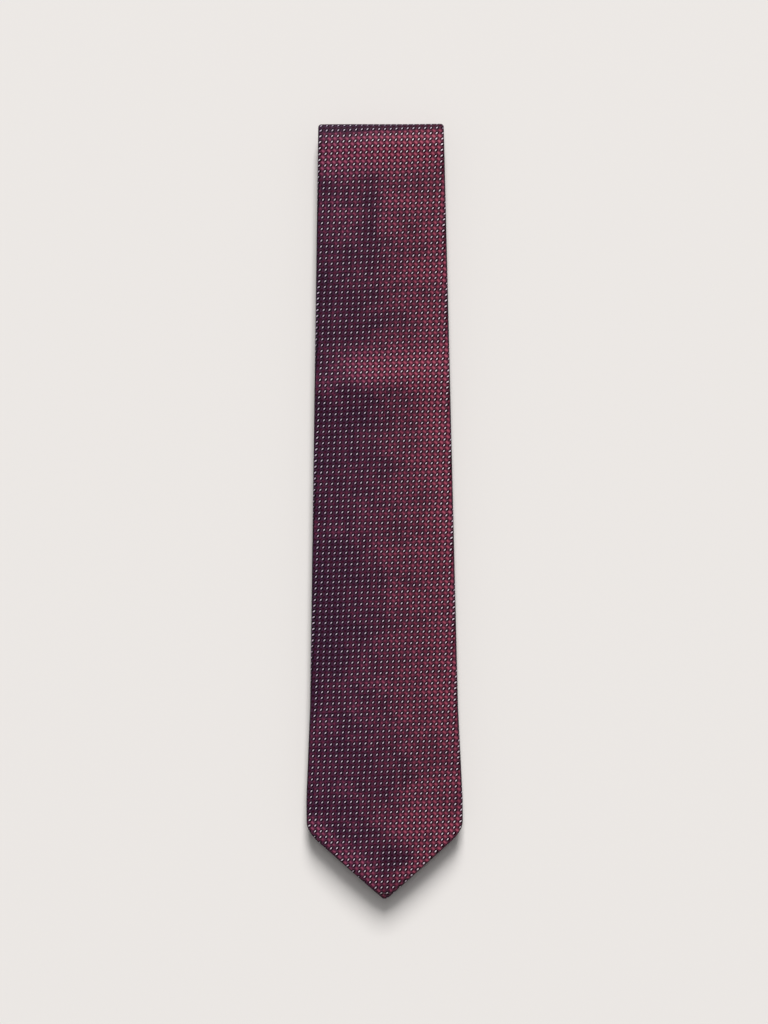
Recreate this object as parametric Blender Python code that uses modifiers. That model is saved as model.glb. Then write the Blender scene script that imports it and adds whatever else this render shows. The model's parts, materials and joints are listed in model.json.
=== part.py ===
"""A silk necktie folded in four, lying on its tail with the wide blade on top.

X runs across the tie, +Y from the blade's point towards the top fold, +Z up, and the origin is at the centre
of the underside. The tie is folded like a zigzag: the blade run lies on the inner run, that on the neck run,
and that on the tail run. Each fold is a hinge along X, at rest when closed. Every run is a flat tube: a silk
shell whose two flaps meet at the centre of its back, round a wool interlining.
"""

import math

import bmesh
import bpy
from mathutils import Matrix, Vector

MM = 0.001
GAP = 0.3 * MM

# Lengths and half widths along the tie.
BLADE_TIP_Y = -197.8 * MM
TOP_FOLD_Y = 194.1 * MM
INNER_FOLD_Y = -175.8 * MM
TAIL_TIP_Y = -151 * MM
BLADE_NECK_JOIN_Y = -27.6 * MM
NECK_TAIL_JOIN_Y = 99 * MM
BLADE_HALF = 40 * MM
TOP_FOLD_HALF = 32.1 * MM
NECK_HALF = 17.5 * MM
REAR_FOLD_HALF = 19 * MM
TAIL_HALF = 22.5 * MM
TAIL_SHOULDER = 22 * MM
NECK_WIDENS_Y = 50 * MM

# The blade's sides narrow slowly as far as its waist, and flare from there to the shoulders.
WAIST_Y = -100 * MM
WAIST_HALF = 37.8 * MM
FLARE_LENGTH = 47 * MM

# The point of both ends: half width gained per length, its blunt tip, and the rounding of the shoulders.
POINT_SLOPE = 1.125
TIP_HALF = 1.05 * MM
SHOULDER_ROUND = 5.7 * MM

# Thickness of each layer, and the spaces between the runs.
SILK = 0.5 * MM
LINING = 0.3 * MM
END_WOOL = 1.2 * MM
MIDDLE_WOOL = 1.6 * MM
THREAD_R = 0.2 * MM
TAIL_THICK = 3.4 * MM
RUN_THICK = 3.2 * MM
BLADE_THICK = 3.4 * MM
FOLD_THICK = 3.0 * MM
RUN_GAP = 0.6 * MM
TRIM_GAP = 1.0 * MM

# Undersides of the four runs, and the heights of the fold axes between them.
TAIL_Z = 0.0
NECK_Z = TAIL_Z + TAIL_THICK + RUN_GAP
INNER_Z = NECK_Z + RUN_THICK + RUN_GAP
BLADE_Z = INNER_Z + RUN_THICK + TRIM_GAP
REAR_FOLD_Z = NECK_Z - RUN_GAP / 2
INNER_FOLD_Z = INNER_Z - RUN_GAP / 2
TOP_FOLD_Z = BLADE_Z - TRIM_GAP / 2

# Half of the slit between the two flaps. Then where the back opens out, measured from each tip, how wide the
# point's hem is across X, and how much of the width is open at the shoulders.
SLIT_HALF = 0.5 * MM
BLADE_OPENS = 105 * MM
BLADE_HEM = 12 * MM
TAIL_OPENS = 72 * MM
TAIL_HEM = 9 * MM
OPEN_SHARE = 0.82

# The interlining and the linings lie inside the shell: how far in from its edge, and above a run's underside.
WOOL_INSET = 1.4 * MM
WOOL_ABOVE = 0.8 * MM
BLADE_WOOL_ABOVE = 1.4 * MM
BLADE_LINING_INSET = 7 * MM
BLADE_LINING_ABOVE = 0.8 * MM
TAIL_LINING_INSET = 5 * MM
TAIL_LINING_ABOVE = 2.3 * MM

# Stitching: how far the centre seam stops above the back's opening, half of the cut between panels at a bias
# join, and how far a slack loop stops short of closing, in radians.
SEAM_STOPS = 6 * MM
JOIN_CUT = 0.7 * MM
LOOP_OPEN = 0.3
LOOP_STEPS = 13

# Trimmings on the blade's back: how far each one's middle is from the tip, and its half sizes.
TACK_HIGH = 0.4 * MM
KEEPER_FROM_TIP = 225 * MM
KEEPER_HALF = (27 * MM, 6 * MM)
LABEL_FROM_TIP = 160 * MM
LABEL_HALF = (26 * MM, 10 * MM)
CARE_FROM_TIP = 192 * MM
CARE_HALF = (9 * MM, 8 * MM)
CARE_X = 12 * MM

SILK_COLOUR = (0.115, 0.036, 0.055, 1)
SATIN_COLOUR = (0.05, 0.012, 0.02, 1)
WOOL_COLOUR = (0.72, 0.69, 0.62, 1)
THREAD_COLOUR = (0.09, 0.02, 0.035, 1)
LABEL_COLOUR = (0.03, 0.025, 0.035, 1)
CARE_COLOUR = (0.78, 0.76, 0.72, 1)


def clear_scene():
    for obj in list(bpy.data.objects):
        bpy.data.objects.remove(obj, do_unlink=True)


def material(name, colour, roughness):
    made = bpy.data.materials.new(name)
    made.use_nodes = True
    shader = made.node_tree.nodes["Principled BSDF"]
    shader.inputs["Base Color"].default_value = colour
    shader.inputs["Roughness"].default_value = roughness
    shader.inputs["Metallic"].default_value = 0.0
    return made


def add(name, data, parts, axis, colour, roughness):
    """Puts data in the parts collection, under the empty on its body's joint, with a material of its own."""
    obj = bpy.data.objects.new(name, data)
    parts.objects.link(obj)
    data.materials.append(material(name, colour, roughness))
    if axis:
        obj.parent = axis
        obj.matrix_parent_inverse = Matrix.Translation(-joint_place(axis))
    return obj


def joint_place(axis):
    """Where an empty stands in the world, through the empties it hangs from."""
    place = Vector(axis.location)
    return place + joint_place(axis.parent) if axis.parent else place


def joint_empty(name, parts, y, z, parent=None):
    empty = bpy.data.objects.new(name, None)
    parts.objects.link(empty)
    empty.empty_display_size = 0.02
    empty.location = Vector((0, y, z)) - (joint_place(parent) if parent else Vector())
    empty.parent = parent
    return empty


def rounded_min(a, b, reach):
    """The lesser of a and b, rounded where they cross."""
    near = max(reach - abs(a - b), 0.0) / reach
    return min(a, b) - near * near * reach / 4


def between(value, start, end, at_start, at_end):
    share = min(max((value - start) / (end - start), 0.0), 1.0)
    return at_start + share * (at_end - at_start)


def blade_half(y):
    flare = between(y, WAIST_Y - FLARE_LENGTH, WAIST_Y, BLADE_HALF - WAIST_HALF, 0)
    side = flare + between(y, WAIST_Y, TOP_FOLD_Y, WAIST_HALF, TOP_FOLD_HALF)
    return rounded_min(TIP_HALF + POINT_SLOPE * (y - BLADE_TIP_Y), side, SHOULDER_ROUND)


def inner_half(y):
    return between(y, INNER_FOLD_Y, TOP_FOLD_Y, NECK_HALF, TOP_FOLD_HALF)


def neck_half(y):
    return between(y, NECK_WIDENS_Y, TOP_FOLD_Y, NECK_HALF, REAR_FOLD_HALF)


def tail_half(y):
    side = between(y, TAIL_TIP_Y + TAIL_SHOULDER, TOP_FOLD_Y, TAIL_HALF, REAR_FOLD_HALF)
    return rounded_min(TIP_HALF + POINT_SLOPE * (y - TAIL_TIP_Y), side, SHOULDER_ROUND)


def back_opening(s, opens, hem, half):
    """Half of the space between the flaps, s from a tip: the point's hem, then the V below the bar tack."""
    hem_edge = POINT_SLOPE * s - hem
    shoulder = half / POINT_SLOPE
    flap_edge = SLIT_HALF + (opens - s) * (half * OPEN_SHARE - SLIT_HALF) / (opens - shoulder)
    return max(SLIT_HALF, min(hem_edge, flap_edge))


def section(y, half_at, front_z, back_z, opening, bias=0.0, steps=5):
    """One ring of an open C section at mid thickness, from the right flap's edge round to the left flap's.
    With a bias the ring leans, and runs at 45 degrees over the flattened cloth when bias is 1."""
    ring = []
    middle = (front_z + back_z) / 2
    for side in (1, -1):
        half = half_at(y)
        for _ in range(4):
            half = half_at(y + side * bias * half)
        half -= SILK / 2
        r = min(abs(front_z - back_z) / 2, half * 0.6)
        back = middle + math.copysign(r, back_z - middle)
        front = middle + math.copysign(r, front_z - middle)
        inner = half - r
        edge = min(opening, inner - 0.05 * MM)
        run = [(edge, back, 2 * half - edge), ((edge + inner) / 2, back, 2 * half - (edge + inner) / 2)]
        for k in range(steps + 1):
            turn = math.pi * k / steps
            x = inner + r * math.sin(turn)
            z = middle + (back - middle) * math.cos(turn)
            run.append((x, z, half + r - 2 * r * k / steps))
        run.append((inner * 0.5, front, inner * 0.5))
        ring.append([(side * x, y + side * bias * u, z) for x, z, u in run])
    right, left = ring
    return right + left[::-1]


def solidify(obj, thickness):
    modifier = obj.modifiers.new("Solidify", "SOLIDIFY")
    modifier.thickness = thickness
    modifier.offset = 0.0
    modifier.use_even_offset = True


def shell(name, rings, parts, axis):
    """An open tube of cloth through rings of the same number of points, thickened about its middle."""
    mesh = bpy.data.meshes.new(name)
    form = bmesh.new()
    rows = [[form.verts.new(p) for p in ring] for ring in rings]
    for low, high in zip(rows, rows[1:]):
        for k in range(len(low) - 1):
            form.faces.new((low[k], low[k + 1], high[k + 1], high[k]))
    bmesh.ops.recalc_face_normals(form, faces=form.faces)
    form.to_mesh(mesh)
    form.free()
    mesh.shade_smooth()
    obj = add(name, mesh, parts, axis, SILK_COLOUR, 0.45)
    solidify(obj, SILK)


def plate(name, outline, low_z, thick, parts, axis, colour, roughness):
    """A flat sheet from a closed outline of (x, y) points."""
    curve = bpy.data.curves.new(name, "CURVE")
    curve.dimensions = "2D"
    curve.fill_mode = "BOTH"
    curve.extrude = thick / 2
    spline = curve.splines.new("POLY")
    spline.points.add(len(outline) - 1)
    for point, (x, y) in zip(spline.points, outline):
        point.co = (x, y, 0, 1)
    spline.use_cyclic_u = True
    obj = add(name, curve, parts, axis, colour, roughness)
    obj.location = (0, 0, low_z + thick / 2)


def thread(name, points, parts, axis):
    curve = bpy.data.curves.new(name, "CURVE")
    curve.dimensions = "3D"
    curve.bevel_depth = THREAD_R
    curve.bevel_resolution = 2
    curve.use_fill_caps = True
    spline = curve.splines.new("POLY")
    spline.points.add(len(points) - 1)
    for point, place in zip(spline.points, points):
        point.co = (*place, 1)
    add(name, curve, parts, axis, THREAD_COLOUR, 0.5)


def bar(name, middle, size, parts, axis):
    """A small block with rounded edges, for a tack or a row of stitches."""
    mesh = bpy.data.meshes.new(name)
    form = bmesh.new()
    bmesh.ops.create_cube(form, size=1.0)
    bmesh.ops.scale(form, vec=size, verts=form.verts)
    form.to_mesh(mesh)
    form.free()
    obj = add(name, mesh, parts, axis, THREAD_COLOUR, 0.5)
    obj.location = middle
    modifier = obj.modifiers.new("Bevel", "BEVEL")
    modifier.width = 0.1 * MM
    modifier.segments = 2


def strip_outline(half_at, stations, inset):
    """A closed outline up the right side and down the left, inset from the tie's half width."""
    right = [(half_at(y) - inset, y) for y in stations]
    return right + [(-x, y) for x, y in reversed(right)]


def fold_turn(name, half, place, radius, thick, towards, parts, axis):
    """Shell and interlining together where they turn back: a line turned half round the fold's axis."""
    mesh = bpy.data.meshes.new(name)
    mesh.from_pydata([(-half, 0, radius), (half, 0, radius)], [(0, 1)], [])
    obj = add(name, mesh, parts, axis, SILK_COLOUR, 0.45)
    obj.location = (0, *place)
    turn = obj.modifiers.new("Screw", "SCREW")
    turn.axis = "X"
    turn.angle = -towards * math.pi
    turn.steps = turn.render_steps = 12
    turn.use_merge_vertices = False
    turn.use_smooth_shade = True
    solidify(obj, thick)


def steps_from(start, *ends):
    """Stations along Y, each given as a distance from a tip."""
    return [start + end * MM for end in ends]


def slack_loop(name, y, z, half_x, half_y, parts, axis):
    """An oval of thread round (0, y) that stops short of closing."""
    points = []
    for k in range(LOOP_STEPS + 1):
        turn = LOOP_OPEN + 2 * (math.pi - LOOP_OPEN) * k / LOOP_STEPS
        points.append((half_x * math.sin(turn), y + half_y * math.cos(turn), z))
    thread(name, points, parts, axis)


def tack_pair(name, half_x, y, wide, long, parts, axis):
    """A row of stitches just beyond each end of a trimming that reaches half_x to either side."""
    for side, word in ((1, "right"), (-1, "left")):
        place = (side * (half_x + GAP + wide / 2), y, BLADE_Z - GAP - TACK_HIGH / 2)
        bar(f"{name}_{word}", place, (wide, long, TACK_HIGH), parts, axis)


def rectangle(x, y, half_x, half_y):
    return [
        (x - half_x, y - half_y),
        (x + half_x, y - half_y),
        (x + half_x, y + half_y),
        (x - half_x, y + half_y),
    ]


def blade_run(parts, axis):
    front_z = BLADE_Z + BLADE_THICK - SILK / 2
    back_z = BLADE_Z + SILK / 2
    end_y = TOP_FOLD_Y - GAP
    near = (0, 1.5, 4, 10.8, 16, 22, 28, 32, 34, 36, 38, 40, 44, 51, 75, 98, 104, 106, 200)
    rings = []
    for y in steps_from(BLADE_TIP_Y, *near) + [end_y]:
        opening = back_opening(y - BLADE_TIP_Y, BLADE_OPENS, BLADE_HEM, BLADE_HALF)
        rings.append(section(y, blade_half, front_z, back_z, opening))
    shell("blade_shell", rings, parts, axis)

    inner = steps_from(BLADE_TIP_Y, 3, 20, 32, 35, 38, 42, 51, 98, 200) + [end_y]
    wool = strip_outline(blade_half, inner, WOOL_INSET)
    plate("blade_interlining", wool, BLADE_Z + BLADE_WOOL_ABOVE, END_WOOL, parts, axis, WOOL_COLOUR, 0.95)

    lined = steps_from(BLADE_TIP_Y, 9, 25, 35, 38, 42, 51, 98, 125)
    satin = strip_outline(blade_half, lined, BLADE_LINING_INSET)
    plate("blade_tipping", satin, BLADE_Z + BLADE_LINING_ABOVE, LINING, parts, axis, SATIN_COLOUR, 0.35)

    opens_y = BLADE_TIP_Y + BLADE_OPENS
    thread("blade_slip_stitch", [(0, opens_y + SEAM_STOPS, back_z), (0, end_y, back_z)], parts, axis)
    slack_loop("slip_stitch_slack_loop", opens_y - 15 * MM, back_z, 1.5 * MM, 5 * MM, parts, axis)

    tack_z = BLADE_Z - GAP - TACK_HIGH / 2
    bar("blade_bar_tack", (0, opens_y + 2 * MM, tack_z), (8 * MM, 1.8 * MM, TACK_HIGH), parts, axis)

    trim_z = BLADE_Z - GAP - LINING
    band_y = BLADE_TIP_Y + KEEPER_FROM_TIP
    plate("keeper_loop", rectangle(0, band_y, *KEEPER_HALF), trim_z, LINING, parts, axis, SILK_COLOUR, 0.45)
    tack_pair("keeper_tack", KEEPER_HALF[0], band_y, 1.2 * MM, 9 * MM, parts, axis)

    label_y = BLADE_TIP_Y + LABEL_FROM_TIP
    plate("back_label", rectangle(0, label_y, *LABEL_HALF), trim_z, LINING, parts, axis, LABEL_COLOUR, 0.6)
    tack_pair("label_stitch", LABEL_HALF[0], label_y, 0.6 * MM, 17 * MM, parts, axis)

    care = rectangle(CARE_X, BLADE_TIP_Y + CARE_FROM_TIP, *CARE_HALF)
    plate("care_label", care, trim_z, LINING, parts, axis, CARE_COLOUR, 0.4)


def joined_run(lower, upper, join, names, half_at, front_z, back_z, parts, axis):
    """Two panels that meet at a bias seam, from the run's lower end to its upper, and the seam's thread."""
    rings = [
        section(lower, half_at, front_z, back_z, SLIT_HALF),
        section((lower + join) / 2 - 20 * MM, half_at, front_z, back_z, SLIT_HALF, 0.3),
        section(join - JOIN_CUT, half_at, front_z, back_z, SLIT_HALF, 1.0),
    ]
    shell(names[0], rings, parts, axis)
    rings = [
        section(join + JOIN_CUT, half_at, front_z, back_z, SLIT_HALF, 1.0),
        section((join + upper) / 2 + 20 * MM, half_at, front_z, back_z, SLIT_HALF, 0.3),
        section(upper, half_at, front_z, back_z, SLIT_HALF),
    ]
    shell(names[1], rings, parts, axis)
    thread(names[2], section(join, half_at, front_z, back_z, 1.2 * MM, 1.0), parts, axis)


def inner_run(parts, axis):
    front_z = INNER_Z + SILK / 2
    back_z = INNER_Z + RUN_THICK - SILK / 2
    lower = INNER_FOLD_Y + GAP
    upper = TOP_FOLD_Y - GAP
    names = ("neck_shell_front", "blade_shell_upper", "blade_neck_join")
    joined_run(lower, upper, BLADE_NECK_JOIN_Y, names, inner_half, front_z, back_z, parts, axis)
    wool = strip_outline(inner_half, [lower, upper], WOOL_INSET)
    plate("inner_interlining", wool, INNER_Z + WOOL_ABOVE, MIDDLE_WOOL, parts, axis, WOOL_COLOUR, 0.95)
    thread("inner_slip_stitch", [(0, lower, back_z), (0, upper, back_z)], parts, axis)


def neck_run(parts, axis):
    front_z = NECK_Z + RUN_THICK - SILK / 2
    back_z = NECK_Z + SILK / 2
    lower = INNER_FOLD_Y + GAP
    upper = TOP_FOLD_Y - GAP
    names = ("neck_shell_rear", "tail_shell_upper", "neck_tail_join")
    joined_run(lower, upper, NECK_TAIL_JOIN_Y, names, neck_half, front_z, back_z, parts, axis)
    wool = strip_outline(neck_half, [lower, NECK_WIDENS_Y, upper], WOOL_INSET)
    plate("neck_interlining", wool, NECK_Z + WOOL_ABOVE, MIDDLE_WOOL, parts, axis, WOOL_COLOUR, 0.95)
    thread("neck_slip_stitch", [(0, lower, back_z), (0, upper, back_z)], parts, axis)


def tail_run(parts):
    front_z = TAIL_Z + SILK / 2
    back_z = TAIL_Z + TAIL_THICK - SILK / 2
    end_y = TOP_FOLD_Y - GAP
    near = (0, 1.5, 4, 8, 12, 16, 18, 20, 22, 25, 30, 50, 71, 73, 200)
    rings = []
    for y in steps_from(TAIL_TIP_Y, *near) + [end_y]:
        opening = back_opening(y - TAIL_TIP_Y, TAIL_OPENS, TAIL_HEM, TAIL_HALF)
        rings.append(section(y, tail_half, front_z, back_z, opening))
    shell("tail_shell", rings, parts, None)

    inner = steps_from(TAIL_TIP_Y, 3, 14, 18, 21, 26, 100) + [end_y]
    wool = strip_outline(tail_half, inner, WOOL_INSET)
    plate("tail_interlining", wool, TAIL_Z + WOOL_ABOVE, END_WOOL, parts, None, WOOL_COLOUR, 0.95)

    lined = steps_from(TAIL_TIP_Y, 8, 16, 21, 26, 60, 85)
    satin = strip_outline(tail_half, lined, TAIL_LINING_INSET)
    plate("tail_tipping", satin, TAIL_Z + TAIL_LINING_ABOVE, LINING, parts, None, SATIN_COLOUR, 0.35)

    opens_y = TAIL_TIP_Y + TAIL_OPENS
    thread("tail_slip_stitch", [(0, opens_y + SEAM_STOPS, back_z), (0, end_y, back_z)], parts, None)
    slack_loop("tail_slack_loop", opens_y - 14 * MM, back_z, 1.2 * MM, 4 * MM, parts, None)

    tack_z = TAIL_Z + TAIL_THICK + RUN_GAP / 2
    bar("tail_bar_tack", (0, opens_y + 2 * MM, tack_z), (6 * MM, 1.6 * MM, 0.24 * MM), parts, None)


def build():
    clear_scene()
    parts = bpy.data.collections.new("necktie")
    bpy.context.scene.collection.children.link(parts)

    rear_axis = joint_empty("rear_fold_axis", parts, TOP_FOLD_Y, REAR_FOLD_Z)
    inner_axis = joint_empty("inner_fold_axis", parts, INNER_FOLD_Y, INNER_FOLD_Z, rear_axis)
    top_axis = joint_empty("top_fold_axis", parts, TOP_FOLD_Y, TOP_FOLD_Z, inner_axis)

    tail_run(parts)
    neck_run(parts, rear_axis)
    inner_run(parts, inner_axis)
    blade_run(parts, top_axis)

    inner_r = (RUN_GAP + RUN_THICK) / 2
    top_r = inner_r + (TRIM_GAP - RUN_GAP)
    top_place = (TOP_FOLD_Y, TOP_FOLD_Z)
    inner_place = (INNER_FOLD_Y, INNER_FOLD_Z)
    rear_place = (TOP_FOLD_Y, REAR_FOLD_Z)
    fold_turn("top_fold_turn", TOP_FOLD_HALF, top_place, top_r, RUN_THICK, 1, parts, inner_axis)
    fold_turn("inner_fold_turn", NECK_HALF, inner_place, inner_r, FOLD_THICK, -1, parts, rear_axis)
    fold_turn("rear_fold_turn", REAR_FOLD_HALF, rear_place, inner_r, FOLD_THICK, 1, parts, None)


build()
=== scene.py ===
"""A silk necktie folded in four: jacquard silk, satin tippings, wool interlinings, stitches and labels.

Lengths are in millimetres along the CAD model's axes, and become metres where a mesh is made. The tie is
four flat runs joined by three folds. A place in a run is (x, y, h), where h is the height above the run's
back, towards its front. Each panel of silk is one cloth, cut whole and wrapped round, and its UV map
"cloth" holds its own width and length in metres.
"""

import json
import math
from collections import namedtuple

import bpy
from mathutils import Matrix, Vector, noise


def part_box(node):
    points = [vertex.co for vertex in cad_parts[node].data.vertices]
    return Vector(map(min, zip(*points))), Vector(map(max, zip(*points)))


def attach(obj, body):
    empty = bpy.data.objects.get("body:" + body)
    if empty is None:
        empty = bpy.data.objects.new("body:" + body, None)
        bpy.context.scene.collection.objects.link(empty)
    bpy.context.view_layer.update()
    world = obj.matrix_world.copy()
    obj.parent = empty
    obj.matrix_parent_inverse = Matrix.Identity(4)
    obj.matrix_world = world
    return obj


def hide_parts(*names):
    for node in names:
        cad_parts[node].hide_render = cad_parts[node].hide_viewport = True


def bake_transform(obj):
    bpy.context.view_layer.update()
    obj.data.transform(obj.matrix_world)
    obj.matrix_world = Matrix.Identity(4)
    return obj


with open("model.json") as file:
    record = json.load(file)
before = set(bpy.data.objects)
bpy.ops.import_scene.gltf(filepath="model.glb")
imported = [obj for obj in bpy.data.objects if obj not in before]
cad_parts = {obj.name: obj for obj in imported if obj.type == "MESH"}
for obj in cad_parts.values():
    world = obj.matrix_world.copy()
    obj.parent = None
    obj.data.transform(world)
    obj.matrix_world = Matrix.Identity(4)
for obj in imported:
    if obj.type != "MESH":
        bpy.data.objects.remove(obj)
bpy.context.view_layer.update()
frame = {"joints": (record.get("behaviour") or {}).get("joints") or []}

MM = 0.001
X, Y, Z = range(3)
LOW, HIGH = range(2)


def side_of(node, end, axis):
    """One side of a CAD node's box, in millimetres."""
    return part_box(node)[end][axis] / MM


def middle_of(node, axis):
    return (side_of(node, LOW, axis) + side_of(node, HIGH, axis)) / 2


def ramp(value, start, end):
    """0 at start, 1 at end, smooth between them."""
    share = min(max((value - start) / (end - start), 0.0), 1.0)
    return share * share * (3 - 2 * share)


def between(value, start, end, at_start, at_end):
    """at_start until start, at_end from end on, and a straight line between them."""
    share = min(max((value - start) / (end - start), 0.0), 1.0)
    return at_start + share * (at_end - at_start)


def bump(distance):
    """1 in the middle, falling smoothly to almost nothing at a distance of 2."""
    return math.exp(-distance * distance)


def wander(x, y, reach_x, reach_y, layer):
    """Smooth noise between -1 and 1 that changes over these reaches, and differs from layer to layer."""
    return noise.noise(Vector((x / reach_x, y / reach_y, layer)))


def rounded_min(a, b, reach):
    """The lesser of a and b, rounded where they cross."""
    near = max(reach - abs(a - b), 0.0) / reach
    return min(a, b) - near * near * reach / 4


# ------------------------------------------------------------------------------
# The tie's outline, from the CAD model
# ------------------------------------------------------------------------------

AXES = {joint["name"]: (joint["pos_m"][Y] / MM, joint["pos_m"][Z] / MM) for joint in frame["joints"]}

BLADE_TIP = side_of("blade_shell", LOW, Y)
TAIL_TIP = side_of("tail_shell", LOW, Y)
TOP_FOLD_Y = AXES["top_fold"][0]
INNER_FOLD_Y = AXES["inner_fold"][0]
INNER_FOLD_EDGE = side_of("inner_fold_turn", LOW, Y)

BLADE_HALF = side_of("blade_shell", HIGH, X)
TOP_FOLD_HALF = side_of("top_fold_turn", HIGH, X)
NECK_HALF = side_of("inner_fold_turn", HIGH, X)
REAR_FOLD_HALF = side_of("rear_fold_turn", HIGH, X)
TAIL_HALF = side_of("tail_shell", HIGH, X)

# Both points gain this much half width for each millimetre of length, from a blunt tip.
POINT_SLOPE = 1.125
TIP_HALF = 1.05
TAIL_SHOULDER = 22.0
SHOULDER_ROUND = 5.7
NECK_WIDENS = 50.0

# The blade's sides narrow slowly as far as its waist, and flare from there to the shoulders.
WAIST_Y = -100.0
WAIST_HALF = 37.8
FLARE_LENGTH = 47.0


def blade_half(y):
    flare = between(y, WAIST_Y - FLARE_LENGTH, WAIST_Y, BLADE_HALF - WAIST_HALF, 0.0)
    side = flare + between(y, WAIST_Y, TOP_FOLD_Y, WAIST_HALF, TOP_FOLD_HALF)
    return rounded_min(TIP_HALF + POINT_SLOPE * (y - BLADE_TIP), side, SHOULDER_ROUND)


def inner_half(y):
    return between(y, INNER_FOLD_Y, TOP_FOLD_Y, NECK_HALF, TOP_FOLD_HALF)


def neck_half(y):
    return between(y, NECK_WIDENS, TOP_FOLD_Y, NECK_HALF, REAR_FOLD_HALF)


def tail_half(y):
    side = between(y, TAIL_TIP + TAIL_SHOULDER, TOP_FOLD_Y, TAIL_HALF, REAR_FOLD_HALF)
    return rounded_min(TIP_HALF + POINT_SLOPE * (y - TAIL_TIP), side, SHOULDER_ROUND)


# up is 1 where a run's front faces up, and -1 where it faces down. A fold turns from its upper run to its
# lower one, on the side that towards gives.
Run = namedtuple("Run", "body back up thick half_at")
Fold = namedtuple("Fold", "y z towards front_out gap upper lower")

BLADE_LOW, BLADE_HIGH = side_of("blade_shell", LOW, Z), side_of("blade_shell", HIGH, Z)
INNER_LOW, INNER_HIGH = side_of("neck_shell_front", LOW, Z), side_of("neck_shell_front", HIGH, Z)
NECK_LOW, NECK_HIGH = side_of("neck_shell_rear", LOW, Z), side_of("neck_shell_rear", HIGH, Z)
TAIL_LOW, TAIL_HIGH = side_of("tail_shell", LOW, Z), side_of("tail_shell", HIGH, Z)

BLADE = Run("blade_run", BLADE_LOW, 1, BLADE_HIGH - BLADE_LOW, blade_half)
INNER = Run("inner_run", INNER_HIGH, -1, INNER_HIGH - INNER_LOW, inner_half)
NECK = Run("neck_run", NECK_LOW, 1, NECK_HIGH - NECK_LOW, neck_half)
TAIL = Run("tail_run", TAIL_HIGH, -1, TAIL_HIGH - TAIL_LOW, tail_half)

TOP_FOLD = Fold(*AXES["top_fold"], 1, True, BLADE_LOW - AXES["top_fold"][1], BLADE, INNER)
INNER_FOLD = Fold(*AXES["inner_fold"], -1, False, INNER_LOW - AXES["inner_fold"][1], INNER, NECK)
REAR_FOLD = Fold(*AXES["rear_fold"], 1, True, NECK_LOW - AXES["rear_fold"][1], NECK, TAIL)

# A bias join: its place, and where the cloth on either side of it starts to lean over to meet it.
Join = namedtuple("Join", "y above below")
BLADE_NECK = Join(middle_of("blade_neck_join", Y), TOP_FOLD_Y - 60, INNER_FOLD_Y + 20)
NECK_TAIL = Join(middle_of("neck_tail_join", Y), TOP_FOLD_Y - 10, INNER_FOLD_Y + 80)

# The back's two flaps part at opens, measured from the tip, and end in a hem along the point.
Opening = namedtuple("Opening", "tip opens hem half")
BLADE_OPENING = Opening(BLADE_TIP, 105.0, 12.0, BLADE_HALF)
TAIL_OPENING = Opening(TAIL_TIP, 72.0, 9.0, TAIL_HALF)

# Where things lie on the blade's back.
KEEPER_Y = BLADE_TIP + 225
LABEL_Y = BLADE_TIP + 160
CARE_X, CARE_Y = 12.0, BLADE_TIP + 192

# ------------------------------------------------------------------------------
# How the cloth lies
# ------------------------------------------------------------------------------

DROOP_RATE = 0.004
SETTLED = 0.97

# The blade's front, compared with a flat one. Behind the top fold it puffs up, and at the fold it is
# pinched. Over the hem it has a ridge. A wave crosses it with a trough beside it, and a narrow valley
# runs down from the fold between the places where it starts and ends.
PUFF_BACK, PUFF_REACH, PUFF_RISE = 7.0, 6.0, 0.9
FOLD_PINCH = 0.6
HEM_WIDTH, HEM_RISE = 8.0, 0.3
WAVE_Y, WAVE_REACH, WAVE_RISE, WAVE_SLANT = 66.0, 8.0, 0.8, 0.08
TROUGH_Y, TROUGH_REACH, TROUGH_DEPTH, TROUGH_SLANT = 44.0, 10.0, 0.3, 0.15
VALLEY_X, VALLEY_REACH, VALLEY_DEPTH = -5.6, 4.0, 0.45
VALLEY_START, VALLEY_END = (95.0, 120.0), (180.0, 165.0)
DRIFT_RISE = 0.4


def droop(x, y):
    """How far the blade sags where nothing lies beneath it."""
    overhang = max(abs(x) - inner_half(y), INNER_FOLD_EDGE - y, 0.0)
    return DROOP_RATE * overhang * overhang


def over_hem(x, y):
    """1 over the hem along the blade's point, 0 further in."""
    from_edge = (TIP_HALF + POINT_SLOPE * (y - BLADE_TIP) - abs(x)) / math.hypot(1, POINT_SLOPE)
    return ramp(from_edge, HEM_WIDTH + 1.5, HEM_WIDTH - 1)


def swell(x, y):
    """How far the blade's front stands above a flat one."""
    puff = PUFF_RISE * bump((y - TOP_FOLD_Y + PUFF_BACK) / PUFF_REACH)
    pinch = FOLD_PINCH * ramp(y, TOP_FOLD_Y - PUFF_BACK, TOP_FOLD_Y)
    wave = WAVE_RISE * bump((y - WAVE_Y - WAVE_SLANT * x) / WAVE_REACH)
    trough = TROUGH_DEPTH * bump((y - TROUGH_Y - TROUGH_SLANT * x) / TROUGH_REACH)
    valley = VALLEY_DEPTH * bump((x - VALLEY_X) / VALLEY_REACH)
    valley *= ramp(y, *VALLEY_START) * ramp(y, *VALLEY_END)
    hem = HEM_RISE * over_hem(x, y)
    drift = DRIFT_RISE * wander(x, y, 38, 50, 0.7)
    return puff - pinch + wave - trough - valley + hem + drift


# Painted highlight: the front gleams more towards its right side, less so near the point and near the top
# fold.
SIDE_GLEAM, SIDE_GLEAM_LOSS, SIDE_REACH = 0.3, 0.12, 30.0
LESS_NEAR_POINT, LESS_NEAR_FOLD = (-70, -120), (120, 150)
BOTH_SIDES_GLEAM = 0.12
HEM_GLEAM = 0.35
PATCH_GLEAM = 0.34
# Painted highlight and shade as noise below the top fold's axis; painted shade over the top fold and along
# the rolled side edges.
BACK_GLEAM = 0.6
FOLD_SHADE, EDGE_SHADE = 0.9, 1.2
MOST_GLEAM = 1.15
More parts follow.
